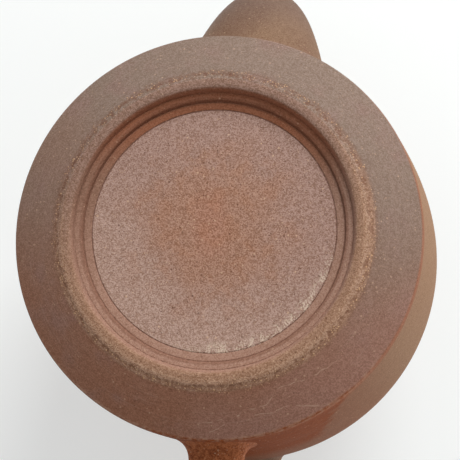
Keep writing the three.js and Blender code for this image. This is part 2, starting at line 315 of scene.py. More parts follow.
underside = [
    (0, FLOOR_HEIGHT, 0),
    (FLOOR_RADIUS - 0.15, FLOOR_HEIGHT, 0.1),
    (FLOOR_RADIUS, FLOOR_HEIGHT + 0.1, 0.06),
    (FLOOR_RADIUS + 0.2, FLOOR_HEIGHT - 0.1, 0.15),
    (30.92, FLOOR_HEIGHT - 0.48, 0.12),
    (RING_INSIDE + 0.02, STEP_HEIGHT, 0.05),
    (31.4, STEP_HEIGHT, 0),
    (foot_radius - 0.7, STEP_HEIGHT, 0),
    (foot_radius - 0.35, 0.62, 0.1),
    (CREASE_RADIUS, CREASE_HEIGHT, 0.3),
    (wall_line[3].x, wall_line[3].y, 0),
]
collar = [
    (wall_line[-3].x, wall_line[-3].y, 0),
    (SHOULDER_RADIUS, shoulder_height, 0.35),
    (SHOULDER_RADIUS + 0.18, shoulder_height + 1.6, 0.6),
    (SHOULDER_RADIUS - 0.25, collar_top - 0.5, 0.35),
    (SHOULDER_RADIUS - 0.9, collar_top, 0.4),
    (SHOULDER_RADIUS - 1.5, collar_top - 0.45, 0.35),
    (SHOULDER_RADIUS - 1.8, LEDGE_HEIGHT, 0.25),
    (MOUTH_RADIUS, LEDGE_HEIGHT, 0.4),
    (MOUTH_RADIUS, LEDGE_HEIGHT - 2.2, 0.5),
    (31.8, shoulder_height - 2.4, 0.8),
    (33.6, shoulder_height - 3.6, 0),
]
inside_bottom = [
    (46.4, 12, 0),
    (46.1, 9.6, 1.2),
    (42.2, INSIDE_FLOOR, 1.5),
    (0, INSIDE_FLOOR, 0),
]
pot_line = eased(underside) + wall_line[4:-3] + eased(collar) + inner_wall()
pot_line += eased(inside_bottom)
pot = turn("pot_turned", pot_line, TURN_STEPS)
print("pot:", len(pot.data.polygons), "faces")

# %% [markdown]
# ## A root that grows out of the wall
#
# Spout and handle are made apart and luted on with slip, and the potter smooths the joint with a
# wet finger until the piece seems to grow out of the wall. A Boolean union would leave a hard line
# there, and a remesh would blur the foot's fine grooves.
#
# So each line of the skin is followed to the point where it meets the wall. From a little before
# that corner, a Bezier curve with the corner as its control point leaves along the skin and arrives
# along the wall, which is just what the finger makes.


# %% Where a skin meets the wall, and its fillet
ROOT_SUNK = 0.08


def turned_about_axis(point, degrees):
    """A point turned about the pot's axis."""
    return Matrix.Rotation(math.radians(degrees), 3, "Z") @ point


def first_outside(skin_at, inside, outside, is_outside, tries=30):
    """Halves the way between a place inside and one outside until it has the crossing."""
    for _ in range(tries):
        middle = (inside + outside) / 2
        if is_outside(skin_at(middle)):
            outside = middle
        else:
            inside = middle
    return outside


def clear_of_wall(point, thickness=0.0):
    """Whether a point is outside the wall, or outside the surface that far inside it."""
    return math.hypot(point.x, point.y) > wall_radius(point.z, thickness)


def crossings(skin_at, count, inside, outside, is_outside=clear_of_wall):
    """The crossing on each side of a skin, where skin_at(side, t) is the skin."""
    return [first_outside(lambda t: skin_at(side, t), inside, outside, is_outside)
            for side in range(count)]


def rings_between(skin_at, starts, ends, steps):
    """Rings of a skin, in even steps from each side's start to its end."""
    pairs = list(enumerate(zip(starts, ends)))
    return [[skin_at(side, start + (end - start) * step / steps) for side, (start, end) in pairs]
            for step in range(1, steps + 1)]


def onto_wall(point, sunk=ROOT_SUNK):
    """Moves a point in or out until it lies just under the wall's surface."""
    share = (wall_radius(point.z) - sunk) / math.hypot(point.x, point.y)
    return Vector((point.x * share, point.y * share, point.z))


def fillet_rings(skin_at, roots, ahead, width, steps=8):
    """Rings from the wall up to the skin. roots holds each side's crossing, and ahead is the step
    in t, with its sign, that leads a fillet's width away."""
    corners = [skin_at(side, t) for side, t in enumerate(roots)]
    middle = sum(corners, Vector()) / len(corners)
    rings = [[] for _ in range(steps + 1)]
    for side, corner in enumerate(corners):
        outwards = Vector((corner.x, corner.y, 0)).normalized()
        away = corner - middle
        away = (away - outwards * away.dot(outwards)).normalized()
        foot_end = onto_wall(corner + away * width)
        skin_end = skin_at(side, roots[side] + ahead)
        for step in range(steps + 1):
            rings[step].append(along([foot_end, corner, skin_end], step / steps))
    return rings


# %% [markdown]
# ## Spout
#
# The spout was thrown as a small cone, bent upwards while soft, and cut slanting at its mouth. Its
# skin is an oval that shrinks along a Bezier curve. The bore is the same skin moved in by the
# thickness of the clay, so that wall and bore stay parallel all the way, and the lip between them
# is rounded with two more curves. A Curve object with a bevel and a taper bends a tube too, but it
# keeps one ratio of width to depth.

# %% Spout skin
SPOUT_TURN = 3.6
SPOUT_SIDES = 96
SPOUT_STEPS = 44
SPOUT_WALL = 2.4
BORE_WIDEST = 24.8
TIP_WIDTH = 11.5
TIP_DEPTH = 12
WIDTH_GAIN = 31
DEPTH_GAIN = 24
TIP_X = 80
TIP_HEIGHT = 78
MOUTH_TILT = math.radians(28)
spout_line = [Vector((belly_radius - 9, 0, 43)), Vector((76, 0, 49)), Vector((TIP_X, -4, 84))]


def spout_skin(side, t, inset=0.0, widest=math.inf, sides=SPOUT_SIDES):
    """One point of the spout's skin, before the spout is turned about the pot's axis."""
    centre = along(spout_line, t)
    ahead = (along(spout_line, t + 0.001) - along(spout_line, t - 0.001)).normalized()
    across = Vector((-ahead.z, 0, ahead.x))
    fullness = 1 - max(t, 0) ** 0.95
    width = min(TIP_WIDTH + WIDTH_GAIN * fullness - 2 * inset, widest)
    depth = min(TIP_DEPTH + DEPTH_GAIN * fullness - 2 * inset, widest)
    angle = 2 * math.pi * side / sides
    return (centre + across * (depth / 2 * math.sin(angle))
            + Vector((0, width / 2 * math.cos(angle), 0)))


def above_mouth(point):
    """Whether a point is beyond the slanting cut at the mouth."""
    rise = (point.x - TIP_X) * math.sin(MOUTH_TILT)
    return rise + (point.z - TIP_HEIGHT) * math.cos(MOUTH_TILT) > 0


def spout_point(side, t, inset=0.0, widest=math.inf):
    """The same point in its real place."""
    return turned_about_axis(spout_skin(side, t, inset, widest), SPOUT_TURN)


print("spout's tip:", [round(v, 1) for v in spout_point(0, 1)])

# %% Spout, with its lip and bore
SPOUT_FILLET = 7.0
FILLET_SHARE = 0.1
LIP_SHARE = 0.03
LIP_STEPS = 5
BORE_STEPS = 24


def bore_point(side, t):
    """One point of the bore, which is the skin moved in by the clay's thickness."""
    return spout_point(side, t, SPOUT_WALL, BORE_WIDEST)


def spout_rings():
    """All rings of the spout, from the wall out to the lip and back down the bore."""
    sides = range(SPOUT_SIDES)
    roots = crossings(spout_point, SPOUT_SIDES, 0, 0.6)
    bore_roots = crossings(bore_point, SPOUT_SIDES, 0, 0.6)
    tips = crossings(spout_skin, SPOUT_SIDES, 0.5, 1, above_mouth)
    bore_tips = crossings(lambda s, t: spout_skin(s, t, SPOUT_WALL, BORE_WIDEST), SPOUT_SIDES,
                          0.5, 1, above_mouth)
    rings = fillet_rings(spout_point, roots, FILLET_SHARE, SPOUT_FILLET)
    rings += rings_between(spout_point, [t + FILLET_SHARE for t in roots],
                           [t - LIP_SHARE for t in tips], SPOUT_STEPS)
    bore = [t - LIP_SHARE for t in bore_tips]
    outer = [spout_point(s, tips[s]) for s in sides]
    inner = [bore_point(s, bore_tips[s]) for s in sides]
    crest = [a.lerp(b, 0.5) for a, b in zip(outer, inner)]
    bore_start = [bore_point(s, bore[s]) for s in sides]
    for start, corner, end in ((rings[-1], outer, crest), (crest, inner, bore_start)):
        for step in range(1, LIP_STEPS + 1):
            rings.append([along([start[s], corner[s], end[s]], step / LIP_STEPS) for s in sides])
    rings += rings_between(bore_point, bore, bore_roots, BORE_STEPS)
    middle = sum(rings[-1], Vector()) / SPOUT_SIDES
    rings.append([onto_wall(p + (p - middle).normalized() * 0.6, 0.5) for p in rings[-1]])
    return rings


spout = skin("spout_luted", spout_rings(), loop=True)
hole = skin("hole", [[bore_point(s, t * 0.04) for s in range(SPOUT_SIDES)] for t in range(12)])
cut(pot, hole)
print("spout:", len(spout.data.polygons), "faces; pot with its hole:", len(pot.data.polygons))

# %% [markdown]
# ## Handle
#
# The handle is a strap of clay, pulled by hand until it is smooth and bent into a loop while soft.
# It is narrow where it leaves the lower wall and widens all the way to its upper root. Its section
# is a superellipse, flatter than an oval, and both ends get the same wet-finger fillet. Equal steps
# of t on a Bezier curve are not equal lengths, so the line is measured first.

# %% Handle's line
HANDLE_TURN = -2.7
HANDLE_SIDES = 64
HANDLE_STEPS = 90
HANDLE_THICKNESS = 8.6
SQUARENESS = 2.4
LOWER_FILLET = 4.6
UPPER_FILLET = 3.0
WIDTH_BELOW = 12.6
WIDTH_ABOVE = 21
LOW = 17
HIGH = 56
SUNK = 3
BACK = HANDLE_THICKNESS / 2 - reach
LOWER_ROOT = SUNK - wall_radius(LOW)
UPPER_ROOT = SUNK - wall_radius(HIGH)
lower_arm = [Vector(p) for p in ((LOWER_ROOT, 0, LOW), (LOWER_ROOT - 20, 0, 13),
                                 (BACK, 0.9, 24.4), (BACK, 0.9, 36.5))]
upper_arm = [Vector(p) for p in ((BACK, 0.9, 36.5), (BACK, 0.9, 48.6),
                                 (UPPER_ROOT - 20, 1.8, 64), (UPPER_ROOT, 1.8, HIGH))]
fine = [along(lower_arm, step / 200) for step in range(200)]
fine += [along(upper_arm, step / 200) for step in range(201)]
lengths = [0.0]
for a, b in zip(fine, fine[1:]):
    lengths.append(lengths[-1] + (b - a).length)
print("handle:", round(lengths[-1], 1), "mm long")


# %% Handle's skin
def handle_centre(share):
    """The point at a share of the handle's length, by the lengths that were walked above."""
    walked = min(max(share, 0.0), 1.0) * lengths[-1]
    index = max(i for i, length in enumerate(lengths[:-1]) if length <= walked)
    step = (walked - lengths[index]) / (lengths[index + 1] - lengths[index])
    return fine[index].lerp(fine[index + 1], step)


def handle_point(side, share):
    """One point of the strap's skin."""
    ahead = handle_centre(share + 0.004) - handle_centre(share - 0.004)
    across = Vector((-ahead.z, 0, ahead.x)).normalized()
    angle = 2 * math.pi * side / HANDLE_SIDES
    wide = math.copysign(abs(math.cos(angle)) ** (2 / SQUARENESS), math.cos(angle))
    thick = math.copysign(abs(math.sin(angle)) ** (2 / SQUARENESS), math.sin(angle))
    width = WIDTH_BELOW + (WIDTH_ABOVE - WIDTH_BELOW) * share
    point = handle_centre(share) + across * (HANDLE_THICKNESS / 2 * thick)
    return turned_about_axis(point + Vector((0, width / 2 * wide, 0)), HANDLE_TURN)


def handle_rings():
    """All rings of the strap, from the lower fillet to the upper one."""
    low = crossings(handle_point, HANDLE_SIDES, 0, 0.2)
    high = crossings(handle_point, HANDLE_SIDES, 1, 0.8)
    ahead, behind = LOWER_FILLET / lengths[-1], UPPER_FILLET / lengths[-1]
    start = fillet_rings(handle_point, low, ahead, LOWER_FILLET)
    end = fillet_rings(handle_point, high, -behind, UPPER_FILLET)
    middle = rings_between(handle_point, [t + ahead for t in low], [t - behind for t in high],
                           HANDLE_STEPS)
    return start + middle[:-1] + end[::-1]


handle = skin("handle_strap", handle_rings())
print("handle:", len(handle.data.polygons), "faces")

# %% [markdown]
# ## Pressed out of round
#
# The photo shows the belly on the right of the handle but not on its left: the wall was pushed in
# there while the handle was luted on. By hand this would be proportional editing. Here wall and
# handle are moved by one smooth field, which does the same at each run: it starts and ends at
# angles from the handle, in degrees, and fades towards crease, shoulder and the handle's bend.

# %% Pressing wall and handle
PRESS = 3.0
PRESS_START = (-3, 13)
PRESS_END = (44, 24)


def ease(value, start, end):
    """0 at start and 1 at end, with a smooth step between. The start may be the larger one."""
    share = min(max((value - start) / (end - start), 0.0), 1.0)
    return share * share * (3 - 2 * share)


def pressed(point):
    """Where the thumb leaves a point of the wall or the handle, in millimetres."""
    radius = math.hypot(point.x, point.y)
    around = math.degrees(math.atan2(-point.y, -point.x))
    depth = PRESS * ease(around, *PRESS_START) * ease(around, *PRESS_END)
    depth *= ease(point.z, CREASE_HEIGHT + 1, 34) * ease(point.z, shoulder_height - 4, 58)
    depth *= ease(radius, belly_radius + 14, belly_radius) * ease(radius, 38, 46)
    return Vector((point.x * (1 - depth / radius), point.y * (1 - depth / radius), point.z))


for piece in (pot, handle):
    for vertex in piece.data.vertices:
        if vertex.co.x < 0:
            vertex.co = pressed(vertex.co / MM) * MM
print("pressed in by up to", PRESS, "mm")

# %% [markdown]
# ## Strainer
#
# Inside the wall, a thin pierced dome keeps the leaves out of the spout. A potter pricks the holes
# with a hollow needle, ring by ring, which gives a hexagonal pattern.
#
# Repeats like this belong in Geometry Nodes. Each hole's row and place follow from its index with a
# little arithmetic, so one cylinder is set on every point, and one Boolean takes them all out. The
# numbers are inputs of the tree, and the same wrapper that makes node arithmetic readable here
# serves the materials later.


# %% Nodes from one function, and arithmetic on sockets
def add_node(tree, kind, settings=None, sockets=None):
    """Adds a node: first its settings, then a value or a link for each socket by name or index."""
    node = tree.nodes.new(kind)
    for key, value in (settings or {}).items():
        setattr(node, key, value)
    for key, value in (sockets or {}).items():
        source = getattr(value, "socket", value)
        if isinstance(source, bpy.types.NodeSocket):
            tree.links.new(source, node.inputs[key])
        else:
            node.inputs[key].default_value = source
    return node


def bare_tree(owner):
    """Switches on the nodes of a material or world, and clears them."""
    owner.use_nodes = True
    owner.node_tree.nodes.clear()
    return owner.node_tree


class Value:
    """A number that varies from point to point. Arithmetic on it adds Math nodes."""

    def __init__(self, tree, socket):
        self.tree = tree
        self.socket = socket

    def maths(self, operation, *values):
        """One Math node, with a number or another Value at each of its inputs."""
        node = add_node(self.tree, "ShaderNodeMath", {"operation": operation},
                        dict(enumerate(values)))
        return Value(self.tree, node.outputs[0])

    def __add__(self, other):
        return self.maths("ADD", self, other)

    def __sub__(self, other):
        return self.maths("SUBTRACT", self, other)

    def __rsub__(self, other):
        return self.maths("SUBTRACT", other, self)

    def __mul__(self, other):
        return self.maths("MULTIPLY", self, other)

    def __truediv__(self, other):
        return self.maths("DIVIDE", self, other)

    def __mod__(self, other):
        return self.maths("MODULO", self, other)

    def __pow__(self, power):
        return self.maths("POWER", self, power)

    def __abs__(self):
        return self.maths("ABSOLUTE", self)

    def floor(self):
        """The whole number below."""
        return self.maths("FLOOR", self)

    def clamped(self):
        """The value kept between 0 and 1."""
        return self.maths("MINIMUM", self.maths("MAXIMUM", self, 0), 1)

    __radd__ = __add__
    __rmul__ = __mul__


# %% The dome before it is pierced
STRAINER_RADIUS = 14.2
STRAINER_THICKNESS = 1.8
STRAINER_RISE = 6.5
STRAINER_HEIGHT = 43
SKIRT_DEPTH = 4
OFF_WALL = 1.2
STRAINER_FACE = math.sqrt(wall_radius(STRAINER_HEIGHT - STRAINER_RADIUS / 2, WALL_THICKNESS) ** 2
                          - STRAINER_RADIUS ** 2) - OFF_WALL


def dome_arc(radius, rise, steps=16):
    """A spherical cap's profile from its edge up to its pole."""
    sphere = (radius * radius + rise * rise) / (2 * rise)
    spread = math.asin(radius / sphere)
    angles = [spread * (1 - step / steps) for step in range(steps + 1)]
    return [(sphere * math.sin(a), rise - sphere * (1 - math.cos(a))) for a in angles]


hollow = STRAINER_RADIUS - STRAINER_THICKNESS
dome_line = dome_arc(hollow, STRAINER_RISE - STRAINER_THICKNESS)[::-1]
dome_line += [(hollow, -SKIRT_DEPTH), (STRAINER_RADIUS, -SKIRT_DEPTH)]
dome_line += dome_arc(STRAINER_RADIUS, STRAINER_RISE)
strainer = turn("strainer_dome", dome_line, 96)
print("dome:", len(strainer.data.polygons), "faces,", round(STRAINER_FACE, 1), "mm off the axis")


# %% The tree that pierces it
def piercing_tree():
    """A tree that takes a hexagonal pattern of round holes out of a dome, and the identifiers by
    which a modifier knows its inputs."""
    tree = bpy.data.node_groups.new("pierce", "GeometryNodeTree")
    names = {}
    for name, kind in (("Dome", "Geometry"), ("Rings", "Int"), ("Pitch", "Float"),
                       ("Hole radius", "Float"), ("Clay", "Material")):
        names[name] = tree.interface.new_socket(
            name, in_out="INPUT", socket_type="NodeSocket" + kind).identifier
    tree.interface.new_socket("Pierced", in_out="OUTPUT", socket_type="NodeSocketGeometry")
    given = add_node(tree, "NodeGroupInput").outputs
    index = Value(tree, add_node(tree, "GeometryNodeInputIndex").outputs[0])
    rings = Value(tree, given["Rings"])
    pitch = Value(tree, given["Pitch"])
    across = rings * 2 + 1
    column = index % across - rings
    row = (index / across + 0.001).floor() - rings
    place = add_node(tree, "ShaderNodeCombineXYZ", sockets={
        "X": pitch * (column + row * 0.5), "Y": pitch * row * math.sqrt(0.75)})
    points = add_node(tree, "GeometryNodePoints", sockets={
        "Count": across * across, "Position": place.outputs[0]})
    outside = index.maths("GREATER_THAN", abs(column + row), rings + 0.5)
    kept = add_node(tree, "GeometryNodeDeleteGeometry", {"domain": "POINT"}, {
        "Geometry": points.outputs[0], "Selection": outside})
    needle = add_node(tree, "GeometryNodeMeshCylinder", sockets={
        "Vertices": 20, "Radius": given["Hole radius"], "Depth": 0.04})
    placed = add_node(tree, "GeometryNodeInstanceOnPoints", sockets={
        "Points": kept.outputs[0], "Instance": needle.outputs["Mesh"]})
    needles = add_node(tree, "GeometryNodeRealizeInstances", sockets={0: placed.outputs[0]})
    pierced = add_node(tree, "GeometryNodeMeshBoolean", {
        "operation": "DIFFERENCE", "solver": "EXACT"}, {
        "Mesh 1": given["Dome"], "Mesh 2": needles.outputs[0]})
    clay = add_node(tree, "GeometryNodeSetMaterial", sockets={
        "Geometry": pierced.outputs["Mesh"], "Material": given["Clay"]})
    add_node(tree, "NodeGroupOutput", sockets={0: clay.outputs[0]})
    return tree, names


# %% [markdown]
# ## Lid
#
# The lid drops into the collar and rests on the ledge. A flange below keeps it from sliding off as
# the pot is tipped, a small vent lets air in while it pours, and the knob is turned from the same
# lump. Plate, flange and knob are one profile here, from the hollow under the plate to the top of
# the knob. A sphere joined to a disc would be quicker, and would show a seam at the neck.

# %% Lid
HOLLOW_RADIUS = flange_radius - 2.8
HOLLOW_RISE = 4.4
LID_EDGE = 0.8
CROWN = 1.4
CROWN_RISE = 5.2
NECK_RADIUS = 7.2
KNOB_RADIUS = 9.3
KNOB_ABOVE = 5.0
KNOB_BELOW = 4.4
KNOB_STEPS = 16
VENT_PLACE = 20
VENT_RADIUS = 1.5

lid_line = [Vector((HOLLOW_RADIUS * math.sin(a), lid_bottom + HOLLOW_RISE * math.cos(a)))
            for a in (math.pi / 2 * step / 24 for step in range(24))]
lid_line += eased([
    (HOLLOW_RADIUS, lid_bottom + 0.2, 0),
    (HOLLOW_RADIUS, flange_bottom, 0.6),
    (flange_radius - 0.2, flange_bottom, 0.5),
    (flange_radius, lid_bottom, 0.2),
    (lid_radius, lid_bottom, 0.25),
    (lid_radius, lid_bottom + 2.2 - LID_EDGE / 2, 0.7),
    (lid_radius - 1.6, lid_bottom + 2.35, 0),
])
for step in range(3, 31):
    angle = math.pi / 2 * step / 32
    edge = lid_radius - LID_EDGE
    radius = edge - (edge - NECK_RADIUS) * math.sin(angle)
    lid_line.append(Vector((radius, knob_seat - CROWN_RISE * (1 - math.sin(angle) ** CROWN))))
lid_line += eased([
    (NECK_RADIUS + 0.1, knob_seat, 0),
    (6.0, knob_seat + 0.9, 0.8),
    (5.4, knob_seat + 2.4, 0.8),
    (5.5, knob_seat + 3.9, 0),
])
for step in range(4, 2 * KNOB_STEPS + 1):
    angle = math.pi / 2 * (step / KNOB_STEPS - 1) * 0.99
    rise = (KNOB_ABOVE if angle > 0 else KNOB_BELOW) * math.sin(angle)
    lid_line.append(Vector((KNOB_RADIUS * math.cos(angle), knob_top - KNOB_ABOVE + rise)))
lid_line.append(Vector((0, knob_top)))
lid_line = [p for i, p in enumerate(lid_line) if i == 0 or (p - lid_line[i - 1]).length > 0.01]
lid = turn("lid_turned", lid_line, 160)
vent = turn("vent", [(0, 70), (VENT_RADIUS, 70), (VENT_RADIUS, 100), (0, 100)], 32)
vent.data.transform(Matrix.Translation((VENT_PLACE * MM, 0, 0)))
cut(lid, vent)
print("lid:", len(lid.data.polygons), "faces")

# %% [markdown]
# ## The clay
#
# Unglazed stoneware is all in its surface. Close up it is a crust of fine sand: pale grains, dark
# iron specks and small pits, each well under a millimetre. Further away the colour drifts, greyer
# where the kiln's flame passed and redder where it did not.
#
# An image texture can't be used and would not wrap round a pot. Noise and Voronoi cells in object
# coordinates have no seams, and because every piece keeps its place in its mesh, the pattern runs
# on from one piece to the next. Sizes are given in millimetres, and so are the bump's heights.


# %% A finish and its layers
def colour(code):
    """A colour written as red, green and blue in hex, as the linear values that nodes take."""
    parts = [int(code[i:i + 2], 16) / 255 for i in (0, 2, 4)]
    return (*[((p + 0.055) / 1.055) ** 2.4 if p > 0.04 else p / 12.92 for p in parts], 1)


class Finish:
    """A material in the making: a tone, and methods that make patterns and lay colours over it."""

    def __init__(self, name):
        self.material = bpy.data.materials.new(name)
        self.tree = bare_tree(self.material)
        self.tone = None
        self.place = self.add("ShaderNodeTexCoord").outputs["Object"]
        parts = self.add("ShaderNodeSeparateXYZ", sockets={0: self.place}).outputs
        self.x, self.y, self.z = (Value(self.tree, part) / MM for part in parts)
        self.radius = (self.x ** 2 + self.y ** 2) ** 0.5

    def add(self, kind, settings=None, sockets=None):
        """A new node in the material's tree."""
        return add_node(self.tree, kind, settings, sockets)

    def value(self, kind, settings=None, sockets=None, output=0):
        """One output of a new node."""
        return Value(self.tree, self.add(kind, settings, sockets).outputs[output])

    def shifted(self, shift):
        """Object coordinates moved, so that two patterns of one kind don't fall together."""
        return self.add("ShaderNodeMapping", sockets={
            "Vector": self.place, "Location": (shift, 2.3 * shift, -1.7 * shift)}).outputs[0]

    def noise(self, size, detail=2, shift=0.0):
        """Soft noise from 0 to 1, whose lumps are about this many millimetres across."""
        return self.value("ShaderNodeTexNoise", sockets={
            "Vector": self.shifted(shift), "Scale": 1 / (size * MM), "Detail": detail})

    def rise(self, value, start, end):
        """0 below start and 1 above end, with a smooth step between."""
        return self.value("ShaderNodeMapRange", {"interpolation_type": "SMOOTHSTEP"}, {
            "Value": value, "From Min": start, "From Max": end})

    def band(self, value, start, end, soft):
        """1 between start and end, and 0 further than soft outside them."""
        return self.rise(value, start - soft, start) * (1 - self.rise(value, end, end + soft))

    def cells(self, spacing, shift):
        """The cells of a Voronoi pattern, like packed sand: two flat random values for each cell,
        and the distance from its middle."""
        cells = self.add("ShaderNodeTexVoronoi", sockets={
            "Vector": self.shifted(shift), "Scale": 1 / (spacing * MM)}).outputs
        parts = self.add("ShaderNodeSeparateColor", sockets={0: cells["Color"]}).outputs
        return [Value(self.tree, socket) for socket in (parts[0], parts[1], cells["Distance"])]

    def specks(self, spacing, share, size, shift=0.0):
        """Round specks of differing size, in a share of the cells."""
        pick, _, distance = self.cells(spacing, shift)
        return (((share - pick) * (size / share) - distance) * 8 + 0.5).clamped()

    def blend(self, under, over, factor, how="MIX"):
        """One colour laid over another. Either may be written in hex."""
        under, over = (colour(part) if isinstance(part, str) else part for part in (under, over))
        return self.add("ShaderNodeMix", {"data_type": "RGBA", "blend_type": how}, {
            0: factor, 6: under, 7: over}).outputs[2]

    def lay(self, over, factor, how="MIX"):
        """Lays a colour over the tone so far."""
        self.tone = self.blend(self.tone, over, factor, how)

    def finish(self, roughness, height, specular=0.12):
        """Joins tone, roughness and bump to the shader. The height is in millimetres."""
        bump = self.add("ShaderNodeBump", sockets={
            "Strength": 1.0, "Distance": MM, "Height": height})
        shader = self.add("ShaderNodeBsdfPrincipled", sockets={
            "Base Color": self.tone, "Roughness": roughness, "Normal": bump.outputs[0],
            "Specular IOR Level": specular})
        self.add("ShaderNodeOutputMaterial", sockets={"Surface": shader.outputs[0]})
        return self.material


# %% Layers that every piece shares
def gritty(clay, sand):
    """Grain, pale grit and dark specks over the tone. Returns their height, and the pale grit."""
    grain = clay.noise(0.28, 3)
    coarse = clay.noise(1.3, shift=0.4)
    pale = clay.specks(0.95, 0.16, 0.28, shift=0.11)
    dust = clay.specks(0.45, 0.22, 0.4, shift=0.23)
    dark = clay.specks(1.0, 0.14, 0.24, shift=0.37)
    pits = clay.specks(0.5, 0.2, 0.38, shift=0.53)
    packed = clay.cells(0.27, 0.67)[1] - 0.5
    light = (packed * 1.3 + (grain - 0.5) * 2.2 + (coarse - 0.5) * 0.5 + 0.5).clamped()
    tint = clay.blend((0.75, 0.67, 0.6, 1), (1.25, 1.29, 1.32, 1), light)
    clay.lay(tint, (sand * 0.8).clamped(), "MULTIPLY")
    clay.lay("d8b496", ((pale * 0.4 + dust * 0.26) * sand).clamped())
    clay.lay("512c1d", ((dark * 0.45 + pits * 0.3) * sand).clamped())
    height = grain * 0.06 + coarse * 0.04 + pale * 0.02 + dust * 0.015 - pits * 0.04 - dark * 0.03
    return height * sand, pale


# %% [markdown]
# ## Where the clay changes
#
# Turned pots wear their making in rings, so most changes follow the distance from the axis: a
# pinkish recess with a dark line of painted shade round it and pale patches at its edge, steps and
# a sandy crest where the ring has stood on shelves, both darker towards +X as painted shade and the
# steps redder there, a flank paler on the other side as painted light, and a cone with fine lines
# and a few scratches. Above the crease the wall is tan, and orange slip hugs the crease and climbs
# at the handle's root, where it is partly painted shade on the wall beside the handle. The rest
# follows
# direction: greyer towards the spout, redder towards the handle.
#
# All this could be painted on the mesh as colour attributes, but those are only as fine as its
# vertices. Masks worked out from a point's own coordinates stay sharp however near the camera is.


# %% Patterns and places that several layers use
class PotClay(Finish):
    """The pot's clay. Its drift, cloud and flow are noises about zero."""

    def __init__(self):
        super().__init__("pot clay")
        self.drift = self.noise(26, shift=0.71) - 0.5
        self.cloud = self.noise(9, 3, shift=0.83) - 0.5
        self.flow = self.noise(5, 3, shift=1.7) - 0.5
        self.rough = self.rise(self.noise(1.2, 3, shift=1.9), 0.4, 0.62)
        self.grit = self.specks(0.45, 0.5, 0.5, shift=0.91)
        self.under = 1 - self.rise(self.z, CREASE_HEIGHT + 0.4, CREASE_HEIGHT + 2.9)
        inside = 1 - self.rise(self.radius, FLOOR_RADIUS - 0.2, FLOOR_RADIUS + 0.2)
        self.recess = inside * self.under
        self.crest = self.ring(CREST_START - 0.3, CREST_END + 0.3, 0.7)
        self.flank = self.ring(CREST_END + 0.5, foot_radius + 0.3, 0.8)
        # Rises towards +X, where the foot ring's recess lies in shade. Tones laid with it are
        # painted shade, and tones laid with its opposite are painted light.
        self.shaded = self.rise(self.x - self.y * 0.3 + self.flow * 8, -14, 26)
        self.to_handle = (self.x * -0.978 + self.y * 0.208) / self.radius

    def ring(self, start, end, soft, wobble=0):
        """A ring on the underside between two radii, whose edges may wobble."""
        return self.band(self.radius + wobble, start, end, soft) * self.under


# %% Cone, wall, and slip that is partly painted shade
def lay_cone(clay):
    """Red-brown, greyer towards the spout."""
    to_spout = clay.rise(clay.x + clay.y * 0.25 + clay.drift * 40, -54, 36)
    clay.tone = clay.blend("90644f", "857266", to_spout)
    clay.lay("8a6d66", clay.rise(clay.cloud, -0.02, 0.25) * 0.45)
    clay.lay("987163", clay.rise(clay.y * 0.7 - clay.x + clay.drift * 24, 36, 56) * 0.7)


def lay_wall(clay):
    """Tan above the crease, browner beside the handle and duller at the shoulder."""
    wall = clay.blend("957357", "85563b", clay.rise(clay.to_handle, 0.6, 0.98))
    wall = clay.blend(wall, "8a6c59", clay.rise(clay.z, 44, 66))
    clay.lay(wall, clay.rise(clay.z, CREASE_HEIGHT + 0.2, CREASE_HEIGHT + 2.9) * 0.9)


def lay_slip_and_shade(clay):
    """Orange slip that climbs at the handle's root, partly painted shade where it climbs up the
    wall beside the handle, and a redder edge along the crease.
    """
    near = clay.rise(clay.to_handle + clay.flow * 0.1, 0.8, 0.985)
    # Painted shade in part: near the handle the slip climbs high up the wall, which lies in shadow
    # there.
    climb = near ** 3
    slip = 1 - clay.rise(clay.z + clay.flow * 9, CREASE_HEIGHT - 0.1 + climb * 25,
                         CREASE_HEIGHT + 4.4 + climb * 33)
    slip = slip * clay.rise(near + clay.flow * 0.4, 0, 0.6)
    slip = slip * clay.rise(clay.radius, CREASE_RADIUS - 0.7, CREASE_RADIUS - 0.1)
    clay.lay("854117", (slip * (clay.flow * 0.5 + 0.95)).clamped())
    edge = clay.band(clay.z, CREASE_HEIGHT - 0.1, CREASE_HEIGHT + 1.9, 1.5)
    edge = edge * clay.rise(clay.radius, CREASE_RADIUS - 0.5, CREASE_RADIUS)
    clay.lay("945433", edge * clay.rise(clay.y - clay.x * 0.2 + clay.drift * 40, 20, 44) * 0.65)


# %% Foot ring and recess
def lay_foot_ring(clay):
    """Steps and a sandy crest darker towards +X, the steps also redder there, as painted shade; a
    groove with a dark line of painted shade; a flank paler towards -X as painted light.
    """
    # Painted shade: the steps darker towards +X, and redder still at +X, where the recess lies in
    # shadow.
    steps = clay.blend("a07d6c", "866351", clay.shaded)
    steps = clay.blend(steps, "925a3f", clay.rise(clay.x, 8, 26))
    clay.lay(steps, clay.ring(FLOOR_RADIUS + 0.2, CREST_START - 0.5, 0.3) * 0.9)
    # Painted shade: a dark line all round the groove at the ring's inside.
    groove_shade = clay.ring(RING_INSIDE + 0.06, RING_INSIDE + 0.56, 0.5, clay.flow * 0.3)
    clay.lay("744d3c", groove_shade * 0.5)
    # Painted shade: the crest darker towards +X.
    clay.lay(clay.blend("9b7861", "8e7062", clay.shaded), clay.crest * 0.9)
    # Painted light: the flank paler towards -X.
    clay.lay("ad8a72", clay.flank * (1 - clay.shaded) * 0.8)


